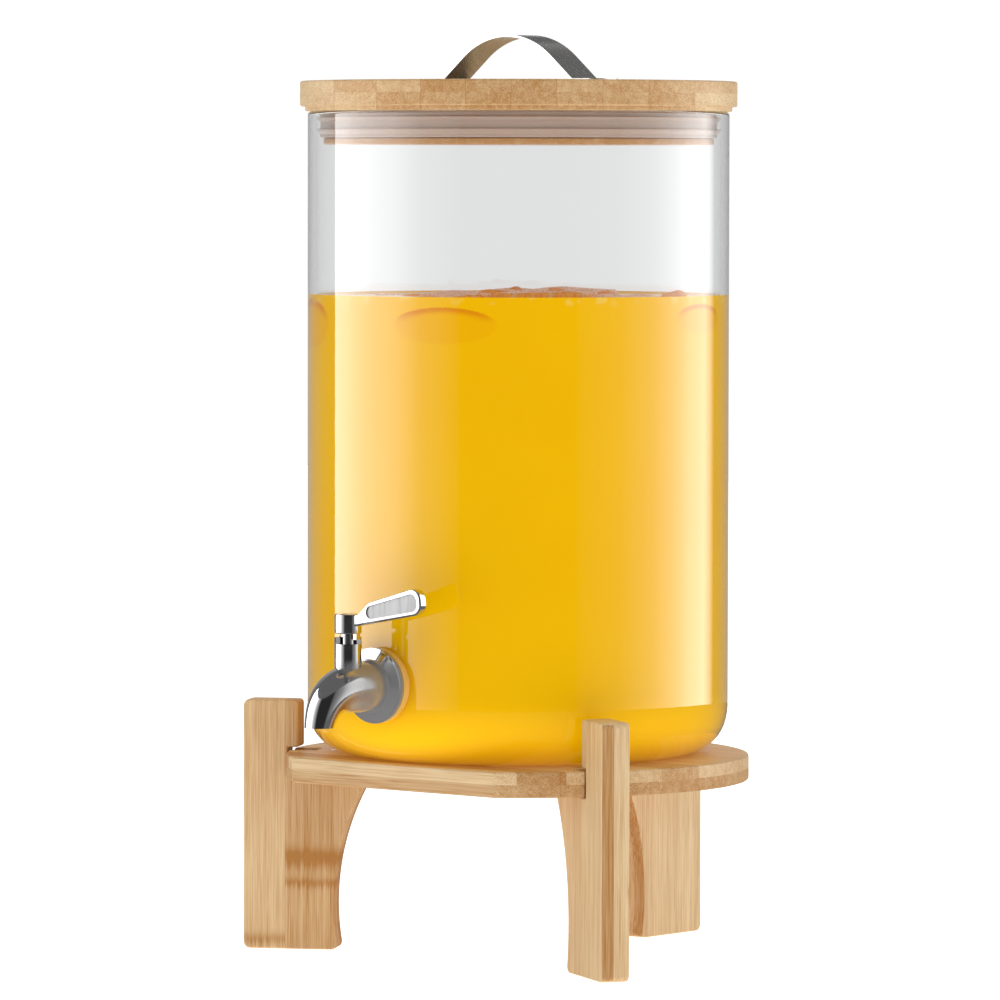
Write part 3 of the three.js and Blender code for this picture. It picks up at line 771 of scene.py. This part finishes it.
def foot(wall, floor, size):
    """The outline of a jar's foot, from the middle of its floor to its wall. The bend of its corner
    comes and goes gradually, so that the glass shows no edge where it starts."""
    steps = 24
    shares = [(i + 0.5) / steps for i in range(steps)]
    turns = [math.pi / 2 * (3 * share**2 - 2 * share**3) for share in shares]
    step = size / sum(math.cos(turn) for turn in turns)
    points = [Vector((wall - size, floor))]
    for turn in turns:
        points.append(points[-1] + Vector((math.cos(turn), math.sin(turn))) * step)
    return [(0, floor), *points]


def jar_mesh():
    """The jar with its tap hole. Its inside faces, towards the juice, have the second material."""
    inside = JAR_RADIUS - JAR_WALL
    floor = JAR_BOTTOM + JAR_BASE
    rim = fillet(
        [
            (JAR_RADIUS, TAP_HEIGHT + 12),
            (JAR_RADIUS, JAR_RIM, JAR_LIP),
            (inside, JAR_RIM, JAR_LIP),
            (inside, TAP_HEIGHT + 12),
        ],
        open_ended=True,
        steps=8,
    )
    base = foot(inside, floor, JAR_CORNER - JAR_WALL)
    made = lathe([*foot(JAR_RADIUS, JAR_BOTTOM, JAR_CORNER), *rim, *reversed(base)], 160)
    hole = [(0, 60), (TAP_HOLE_RADIUS, 60), (TAP_HOLE_RADIUS, 140), (0, 140)]
    made = cut(made, moved(moved(lathe(hole, 48), turn=90, axis="X"), (0, 0, TAP_HEIGHT)))
    for face in made.faces:
        centre = face.calc_center_median()
        outwards = face.normal.x * centre.x + face.normal.y * centre.y
        inner = centre.xy.length < inside + 0.5 and centre.z > floor - 0.5
        face.material_index = 1 if inner and outwards <= 0 else 0
    return made


def juice_mesh():
    """The juice, a little into the glass, with a meniscus that climbs the wall. Its top is the second
    material."""
    wall = JAR_RADIUS - JAR_WALL + JUICE_OVERLAP
    floor = JAR_BOTTOM + JAR_BASE - JUICE_OVERLAP
    shares = [step / 5 for step in range(6)]
    meniscus = [(wall - 2.4 * share, JUICE_LEVEL + MENISCUS * (1 - share) ** 2) for share in shares]
    side = foot(wall, floor, JAR_CORNER - JAR_WALL + JUICE_OVERLAP)
    made = lathe([*side, *meniscus, (60, JUICE_LEVEL), (0, JUICE_LEVEL)], 160)
    for face in made.faces:
        if face.normal.z > 0.25:
            face.material_index = 1
    return made


jar = piece("jar_glass", jar_mesh(), [outer_glass, inner_glass], "jar", ["glass_jar"])
jar.visible_shadow = False
jar.visible_diffuse = False
piece("juice_body", juice_mesh(), [juice_in_glass(), juice_surface()], "jar")


def slice_mesh(radius, thickness, wave, chance):
    """A slice of orange, its cut face swollen in waves and a little uneven."""
    profile = [(0, -thickness), (radius, -thickness, 2), (radius, 0, 1.6), (radius * 0.88, 0.5), (0, 0)]
    disc = lathe(fillet(profile, open_ended=True), 64)
    long_edges = [edge for edge in disc.edges if edge.calc_length() > 8]
    bmesh.ops.subdivide_edges(disc, edges=long_edges, cuts=6, use_grid_fill=True)
    for vertex in disc.verts:
        swell = math.sin(vertex.co.x * 0.21 + wave) * math.cos(vertex.co.y * 0.17 + 2 * wave)
        vertex.co.z += 0.8 * swell + chance.uniform(-0.12, 0.12)
    return disc


def curl_mesh(radius, height, sweep):
    """A curl of peel that lies on the juice: a flat bar bent round, thinner at its ends."""
    bm = bmesh.new()
    rings = []
    for step in range(17):
        share = step / 16
        out = towards(sweep * (share - 0.5))
        size = 0.35 + 0.65 * math.sin(math.pi * share) ** 0.5
        centre = out * radius + Vector((0, 0, 0.6 * math.sin(6 * share)))
        section = [out * 2.6 * point.x + Vector((0, 0, height * point.y)) for point in circle(size, 16)]
        rings.append([bm.verts.new(centre + offset) for offset in section])
    bm.faces.new(rings[0])
    bm.faces.new(rings[-1])
    return skin(bm, rings)


# Floating slices: azimuth, reach, radius, thickness, height over the juice, and tilt.
SLICES = (
    (-88, 32, 27, 7, 1.4, 2.0),
    (-38, 44, 28, 7, 1.8, -2.0),
    (30, 44, 32, 6, 0.0, 1.0),
    (110, 42, 34, 7, 1.7, -1.5),
    (178, 50, 33, 6, 0.0, 0.8),
)
# Curls of peel: azimuth and reach of the bend's centre, bend radius, height, sweep and turn.
CURLS = (
    (-18, 46, 9, 3.6, 150, 210),
    (-66, 26, 12, 2.6, 120, 300),
    (8, 84, 6, 2.4, 110, 120),
    (150, 30, 10, 3, 140, 40),
)
flesh = orange_flesh(34)
chance = random.Random(4)
for number, (azimuth, reach, radius, thickness, rise, tilt) in enumerate(SLICES):
    disc = moved(slice_mesh(radius, thickness, number, chance), turn=tilt, axis="Y")
    spot = AXIS + towards(azimuth, reach) + Vector((0, 0, JUICE_LEVEL + rise))
    piece(f"orange_slice_{number + 1}", disc, flesh, "jar", place=spot, turn=azimuth, sharp=70)
peel_skin = peel()
for number, (azimuth, reach, radius, height, sweep, turn) in enumerate(CURLS):
    curl = curl_mesh(radius, height, sweep)
    spot = AXIS + towards(azimuth, reach) + Vector((0, 0, JUICE_LEVEL + 0.8))
    piece(f"peel_curl_{number + 1}", curl, peel_skin, "jar", place=spot, turn=turn, sharp=70)

# --- Lid ---------------------------------------------------------------------------------------

disc_profile = fillet(
    [
        (0, LID_FOOT),
        (LID_STEP_RADIUS, LID_FOOT, 0.5),
        (LID_STEP_RADIUS, LID_FOOT + LID_STEP, 0.4),
        (LID_RADIUS, LID_FOOT + LID_STEP, 0.9),
        (LID_RADIUS, LID_TOP, 1.1),
        (0, LID_TOP),
    ],
    open_ended=True,
    steps=4,
)
piece("lid_board", lathe(disc_profile, 160), lid_bamboo, "lid", ["lid_disc"])
plug_profile = fillet(
    [
        (0, PLUG_BOTTOM),
        (PLUG_FLANGE_RADIUS, PLUG_BOTTOM, 0.8),
        (PLUG_FLANGE_RADIUS, PLUG_BOTTOM + PLUG_FLANGE, 0.8),
        (PLUG_RADIUS, PLUG_BOTTOM + PLUG_FLANGE),
        (PLUG_RADIUS, PLUG_TOP),
        (0, PLUG_TOP),
    ],
    open_ended=True,
    steps=4,
)
piece("plug_board", lathe(plug_profile, 128), juice_lit_plug_bamboo, "lid", ["lid_plug"])


def seal_mesh():
    inner = PLUG_RADIUS + 0.1
    core = SEAL_RADIUS - 1.7
    outline = [(inner, SEAL_BOTTOM), (core, SEAL_BOTTOM, 0.4)]
    for height in (SEAL_BOTTOM + 3, SEAL_BOTTOM + 8.6):
        outline += [(core, height - 1.4, 0.5), (SEAL_RADIUS, height + 0.2, 0.35)]
        outline += [(SEAL_RADIUS, height + 1, 0.35), (core, height + 1.4, 0.3)]
    outline += [(core, SEAL_TOP, 0.4), (inner, SEAL_TOP)]
    points = fillet(outline, steps=4)
    return lathe([*points, points[0]], 128)


piece("seal_ring", seal_mesh(), seal_silicone, "lid", ["lid_seal"])


def strap_mesh():
    """A bent strip with rounded ends: a grid along its centre line and across its width, made solid."""
    slope = math.radians(STRAP_SLOPE)
    crown = STRAP_TOP - STRAP_RADIUS
    middle = STRAP_RADIUS - STRAP_THICKNESS / 2
    floor = STRAP_FLOOR + STRAP_THICKNESS / 2
    angles = [slope * step / 14 for step in range(15)]
    arch = [(middle * math.sin(angle), crown + middle * math.cos(angle)) for angle in angles]
    x, z = arch[-1]
    foot_start = x + (z - floor) / math.tan(slope)
    end = foot_start + STRAP_FOOT
    bend = fillet([arch[-1], (foot_start, floor, 2.5), (end, floor)], open_ended=True)
    insets = [STRAP_CORNER * (1 - math.sin(math.radians(15 * step))) for step in range(7)]
    side = [*arch, *bend[1:-1], *((end - inset, floor) for inset in insets)]
    line = [(-x, z) for x, z in reversed(side[1:])] + side
    bm = bmesh.new()
    rows = []
    for x, z in line:
        inset = max(0, abs(x) - (end - STRAP_CORNER))
        half = STRAP_WIDTH / 2 - STRAP_CORNER + math.sqrt(max(0, STRAP_CORNER**2 - inset**2))
        rows.append([bm.verts.new((x, half * (i / 4 - 1), z)) for i in range(9)])
    for one, other in zip(rows, rows[1:]):
        for i in range(8):
            bm.faces.new((one[i], one[i + 1], other[i + 1], other[i]))
    bmesh.ops.recalc_face_normals(bm, faces=bm.faces)
    bmesh.ops.solidify(bm, geom=list(bm.faces), thickness=STRAP_THICKNESS)
    lift = STRAP_TOP - max(vertex.co.z for vertex in bm.verts)
    return moved(bm, (0, 0, lift))


strap_screw_reach = sum(corner.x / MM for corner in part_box("strap_screw_right")) / 2
strap_screws = {
    name: Vector((side * strap_screw_reach, 0, STRAP_FLOOR + STRAP_THICKNESS))
    for side, name in ((-1, "strap_screw_left"), (1, "strap_screw_right"))
}
holes = [moved(screw_hole(*STRAP_SCREW_HOLE), spot) for spot in strap_screws.values()]
strap = cut(strap_mesh(), *holes)
piece("strap", strap, strap_steel, "lid", ["strap_handle"])
for name, spot in strap_screws.items():
    screw = screw_mesh(*STRAP_SCREW)
    piece(name + "_head", screw, fastener_steel, "lid", [name], AXIS + spot)

# --- Tap ---------------------------------------------------------------------------------------
# Drawn with +X out along the tap and z = 0 on its axis, then turned to face -Y.

TAP_PLACE = AXIS + Vector((0, 0, TAP_HEIGHT))


def spout_point(share):
    """The spout's centre line, a cubic Bezier curve, and its direction."""
    places = ((-8, 0), (9, 0), (17.5, -4), (20.5, OUTLET_BOTTOM - 2))
    knots = [Vector((STEM_REACH + x, 0, z)) for x, z in places]
    rest = 1 - share
    weights = (rest**3, 3 * rest**2 * share, 3 * rest * share**2, share**3)
    centre = sum((weight * knot for weight, knot in zip(weights, knots)), Vector())
    slopes = (rest**2, 2 * rest * share, share**2)
    steps = [after - before for before, after in zip(knots, knots[1:])]
    return centre, sum((slope * step for slope, step in zip(slopes, steps)), Vector())


def spout(start, end, fullness, turned=()):
    """A bar along the spout whose radius goes from start to end. Points (radius, reach) of a part
    turned about the tap's axis may come before it."""
    shares = [step / 28 for step in range(29)]
    centres, directions = zip(*(spout_point(share) for share in shares))
    radii = [start + (end - start) * share**fullness for share in shares]
    return bar(
        [*(Vector((reach, 0, 0)) for _, reach in turned), *centres],
        [*(Vector((1, 0, 0)) for _ in turned), *directions],
        [*(radius for radius, _ in turned), *radii],
        64,
    )


def tap_mesh():
    """The casting: a shank, flange and barrel turned about +X, the spout, and the post for the stem."""
    bevel_end = FLANGE_REAR + 4.4
    turned = fillet(
        [
            (SHANK_RADIUS - 0.8, SHANK_END),
            (SHANK_RADIUS, SHANK_END + 0.8),
            (SHANK_RADIUS, FLANGE_REAR),
            (FLANGE_RADIUS, FLANGE_REAR, 0.5),
            (FLANGE_RADIUS, FLANGE_REAR + 2, 0.6),
            (FLANGE_RADIUS - 1.25, FLANGE_REAR + 2.35, 0.3),
            (BARREL_RADIUS + 0.4, bevel_end, 0.5),
            (BARREL_RADIUS, bevel_end + 0.8, 0.6),
            (BARREL_RADIUS, STEM_REACH - 12),
        ],
        open_ended=True,
        steps=4,
    )
    above = POST_TOP + 5
    post = [(0, 0), (POST_RADIUS, 0), (POST_RADIUS, POST_TOP, 0.35), (0, POST_TOP)]
    post = lathe(fillet(post, open_ended=True, steps=3), 64)
    bore = [(0, -6.5), (STEM_BORE, -6.5), (STEM_BORE, above), (0, above)]
    sweep = LEVER_SWEEP + 2 * NOTCH_MARGIN
    rim = [towards(sweep * step / 16 - NOTCH_MARGIN, 15).xy for step in range(17)]
    stem = (STEM_REACH, 0, 0)
    body = joined(spout(BARREL_RADIUS, OUTLET_RADIUS, 1.1, turned), moved(post, stem))
    return cut(
        body,
        prism(rectangle(STEM_REACH, -20, STEM_REACH + 40, 20), OUTLET_BOTTOM - 20, OUTLET_BOTTOM),
        moved(lathe(bore, 48), stem),
        moved(prism([(0, 0), *rim], NOTCH_FLOOR, above), stem),
        spout(OUTLET_BORE, OUTLET_RADIUS - 1, 1),
    )


casting = tap_mesh()
piece("tap_casting", casting, cast_steel(), "jar", ["tap_body"], TAP_PLACE, -90, 32)


def gasket_mesh():
    """The ring between the flange and the glass, its rear cut to the jar's round wall."""
    front = AXIS.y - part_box("tap_gasket_outer")[0].y / MM
    rear = 96.5
    section = fillet([(8.3, rear), (17.5, rear), (17.5, front, 0.8), (8.3, front)], steps=5)
    ring = moved(lathe([*section, section[0]], 96), turn=90, axis="Y")
    wall = JAR_RADIUS + 0.2
    return cut(ring, lathe([(0, -40), (wall, -40), (wall, 40), (0, 40)], 256))


ring = gasket_mesh()
piece("flange_gasket", ring, gasket_silicone, "jar", ["tap_gasket_outer"], TAP_PLACE, -90)

# --- Lever -------------------------------------------------------------------------------------
# Drawn about the stem's axis with the blade along +X, which is where it lies when the tap is closed.

LEVER_PLACE = TAP_PLACE + Vector((0, -STEM_REACH, 0))


def lever_mesh():
    """The lever: a cap, a flat blade with a recessed panel of the second material, and a stop tab."""
    half = LEVER_THICKNESS / 2
    panel = PANEL_DEPTH - half
    cap = [(0, CAP_BOTTOM), (CAP_RADIUS, CAP_BOTTOM, 0.5), (CAP_RADIUS, CAP_TOP, 0.9), (0, CAP_TOP)]
    blade = [(3, 28.2), (46.6, 35.9, 5), (45.2, 48.7, 5), (14, 40, 6), (7.5, 34.2, 4), (3, 33.8)]
    recess = [(12, 31.8, 3), (44.3, 37.3, 3.5), (43.3, 46, 3.5), (13.5, 38.2, 3)]
    tab = rectangle(4.4, -1.3, 6.2, 1.3)
    socket = [(0, CAP_BOTTOM - 3), (3.5, CAP_BOTTOM - 3), (3.5, CAP_TOP - 3.3), (0, CAP_TOP - 3.3)]
    made = joined(
        lathe(fillet(cap, open_ended=True, steps=5), 64),
        softened(prism(fillet(blade, steps=8), -half, half, upright=True), 0.9),
        prism(tab, POST_TOP - 1.1, CAP_BOTTOM + 2),
    )
    made = cut(
        made,
        prism(fillet(recess, steps=8), -half - 1, panel, upright=True),
        moved(screw_hole(*LEVER_SCREW_HOLE), (0, 0, CAP_TOP)),
        lathe(socket, 32),
    )
    made.normal_update()
    for face in made.faces:
        centre = face.calc_center_median()
        if face.normal.y < -0.9 and centre.x > 10 and abs(centre.y - panel) < 0.05:
            face.material_index = 1
    return made


def stem_mesh():
    """The turning plug, with a groove for each seal, a neck up into the cap, and a hole across it."""
    groove = SEAL_GROOVE_WIDTH / 2
    profile = [(0, -6), (STEM_RADIUS, -6)]
    for middle in SEAL_GROOVES:
        profile += [(STEM_RADIUS, middle - groove), (SEAL_GROOVE_RADIUS, middle - groove)]
        profile += [(SEAL_GROOVE_RADIUS, middle + groove), (STEM_RADIUS, middle + groove)]
    profile += [
        (STEM_RADIUS, NOTCH_FLOOR - 1),
        (NECK_RADIUS, NOTCH_FLOOR - 0.2),
        (NECK_RADIUS, CAP_BOTTOM - 0.3),
        (2.8, CAP_BOTTOM - 0.3),
        (2.8, CAP_TOP - 3.4),
        (0, CAP_TOP - 3.4),
    ]
    hole = lathe([(0, -10), (3, -10), (3, 10), (0, 10)], 32)
    return cut(lathe(profile, 48), moved(hole, turn=90, axis="X"))


lever = lever_mesh()
piece("lever", lever, [chrome, cast_panel], "lever", ["tap_lever"], LEVER_PLACE)
piece("stem", stem_mesh(), chrome, "lever", ["valve_stem"], LEVER_PLACE)
screw = screw_mesh(*LEVER_SCREW)
spot = LEVER_PLACE + Vector((0, 0, CAP_TOP))
piece("lever_screw_head", screw, fastener_steel, "lever", ["lever_screw"], spot)

# The CAD pieces that stay as they are, hidden in the juice and the tap, take a finished material.
for name, material in (
    ("tap_gasket_inner", gasket_silicone),
    ("tap_washer", fastener_steel),
    ("tap_lock_nut", chrome),
    ("stem_o_ring_lower", seal_silicone),
    ("stem_o_ring_upper", seal_silicone),
):
    for material_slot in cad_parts[name].material_slots:
        material_slot.material = material

# --- Studio, in metres -------------------------------------------------------------------------

CAMERA_AZIMUTH = 40  # degrees to the right of the tap
CAMERA_DISTANCE = 3.3
CAMERA_HEIGHT = 0.3734
CAMERA_PITCH = 2.735  # down
CAMERA_YAW = 0.153
CAMERA_ROLL = -0.1
LENS = 250.3  # mm
FLOOR_REACH = 4
FLOOR_DROP = 0.0005  # so that the feet don't lie in its plane
FLOOR_GLOW = 0.85


def around(alpha, distance, height):
    """A point at an angle to the right of the camera's own direction, seen from the jar's axis."""
    return AXIS * MM + towards(CAMERA_AZIMUTH - 90 + alpha, distance) + Vector((0, 0, height))


camera = linked("camera", bpy.data.cameras.new("camera"))
camera.data.lens = LENS
camera.data.clip_end = 100
camera.location = around(0, CAMERA_DISTANCE, CAMERA_HEIGHT)
camera_angles = (90 - CAMERA_PITCH, CAMERA_ROLL, CAMERA_AZIMUTH + CAMERA_YAW)
camera.rotation_euler = [math.radians(angle) for angle in camera_angles]
scene.camera = camera

corners = [(x, y, 0) for x, y in rectangle(-FLOOR_REACH, -FLOOR_REACH, FLOOR_REACH, FLOOR_REACH)]
floor_mesh = bpy.data.meshes.new("floor")
floor_mesh.from_pydata(corners, [], [(0, 1, 2, 3)])
floor_graph = Graph("pale_floor")
floor_graph.set(Base_Color=(0.86, 0.86, 0.86, 1), Roughness=0.9, Specular_IOR_Level=0.0)
floor_graph.set(Emission_Color=(1, 1, 1, 1), Emission_Strength=FLOOR_GLOW)
floor_mesh.materials.append(floor_graph.material)
floor = linked("floor", floor_mesh)
floor.location.z = -FLOOR_DROP
floor.visible_glossy = False

# Curved cards round the object, seen only in its reflections: height of the top edge, and how bright
# the card is at some angles alpha. The softboxes are bright and the rest is the dark studio.
CARD_DISTANCE = 1.5
CARDS = (
    ("softbox_left", 1.5, ((-116, 3.4), (-104, 3.8), (-70, 2.5), (-52, 0.8), (-31, 0.1))),
    ("softbox_right", 1.5, ((31, 0.1), (55, 0.35), (75, 1.1), (104, 3.3), (119, 3.1), (131, 0.2))),
    ("dark_front", 1.5, ((-31, 0.03), (31, 0.03))),
    ("dark_back_left", 1.5, ((-168, 0.4), (-116, 0.1))),
    ("dark_back_right", 1.5, ((131, 0.12), (168, 0.35))),
    ("backdrop", 0.75, ((168, 0.8), (192, 0.8))),
)


def card(name, top, stops):
    """A card whose glow, carried by its vertices, goes evenly from stop to stop."""
    vertices = []
    glow = []
    for (start, first), (end, last) in zip(stops, stops[1:]):
        for step in range(9):
            share = step / 8
            for height in (0, top):
                vertices.append(around(start + (end - start) * share, CARD_DISTANCE, height))
                glow.append(first + (last - first) * share)
    faces = [(i, i + 1, i + 3, i + 2) for i in range(0, len(vertices) - 2, 2)]
    mesh = bpy.data.meshes.new(name)
    mesh.from_pydata(vertices, [], faces)
    mesh.attributes.new("glow", "FLOAT", "POINT").data.foreach_set("value", glow)
    g = Graph(name)
    strength = g.node("Attribute", attribute_name="glow").outputs["Fac"]
    g.set(Base_Color=(0, 0, 0, 1), Specular_IOR_Level=0.0)
    g.set(Emission_Color=(1, 1, 1, 1), Emission_Strength=strength)
    g.material.cycles.emission_sampling = "NONE"
    mesh.materials.append(g.material)
    made = linked(name, mesh)
    made.visible_camera = False
    made.visible_diffuse = False
    made.visible_shadow = False
    made.visible_transmission = False


for row in CARDS:
    card(*row)

# Area lights: alpha, distance, height, the panel's width and height, and power in watts.
LIGHTS = (
    ("key_left", -95, 1.6, 0.75, 1.2, 1.6, 2.4),
    ("key_right", 95, 1.6, 0.75, 1.2, 1.6, 3.2),
    ("front_fill", 0, 2.2, 1.4, 1.6, 1.0, 10.5),
    ("top", 180, 0.4, 2.2, 1.6, 1.6, 10),
)
LIT_HEIGHT = 0.25  # where the lamps point, on the jar's axis
target = AXIS * MM + Vector((0, 0, LIT_HEIGHT))
for name, alpha, distance, height, panel_width, panel_height, power in LIGHTS:
    lamp = linked(name, bpy.data.lights.new(name, "AREA"))
    lamp.data.shape = "RECTANGLE"
    lamp.data.size = panel_width
    lamp.data.size_y = panel_height
    lamp.data.energy = power
    lamp.location = around(alpha, distance, height)
    lamp.rotation_euler = (target - lamp.location).to_track_quat("-Z", "Y").to_euler()
    lamp.visible_camera = False
    lamp.visible_glossy = False
    lamp.visible_transmission = False

# The white room looks white to the camera, greyer through glass, and lights the pieces less than that.
ROOM_WHITE = 1.02
ROOM_RAYS = (("Is Diffuse Ray", 0.45), ("Is Glossy Ray", 0.16), ("Is Transmission Ray", 0.82))
world = bpy.data.worlds.new("white_room")
world.use_nodes = True
scene.world = world
nodes = world.node_tree.nodes
links = world.node_tree.links
path = nodes.new("ShaderNodeLightPath")
strength = nodes.new("ShaderNodeValue").outputs[0]
strength.default_value = ROOM_WHITE
for kind, value in ROOM_RAYS:
    mix = nodes.new("ShaderNodeMix")
    mix.inputs["B"].default_value = value
    links.new(path.outputs[kind], mix.inputs["Factor"])
    links.new(strength, mix.inputs["A"])
    strength = mix.outputs["Result"]
background = nodes["Background"]
background.inputs["Color"].default_value = (1, 1, 1, 1)
links.new(strength, background.inputs["Strength"])

scene.view_settings.view_transform = "Standard"
scene.cycles.caustics_reflective = False
scene.cycles.caustics_refractive = False

# --- Last update of the scene ------------------------------------------------------------------

bpy.context.view_layer.update()
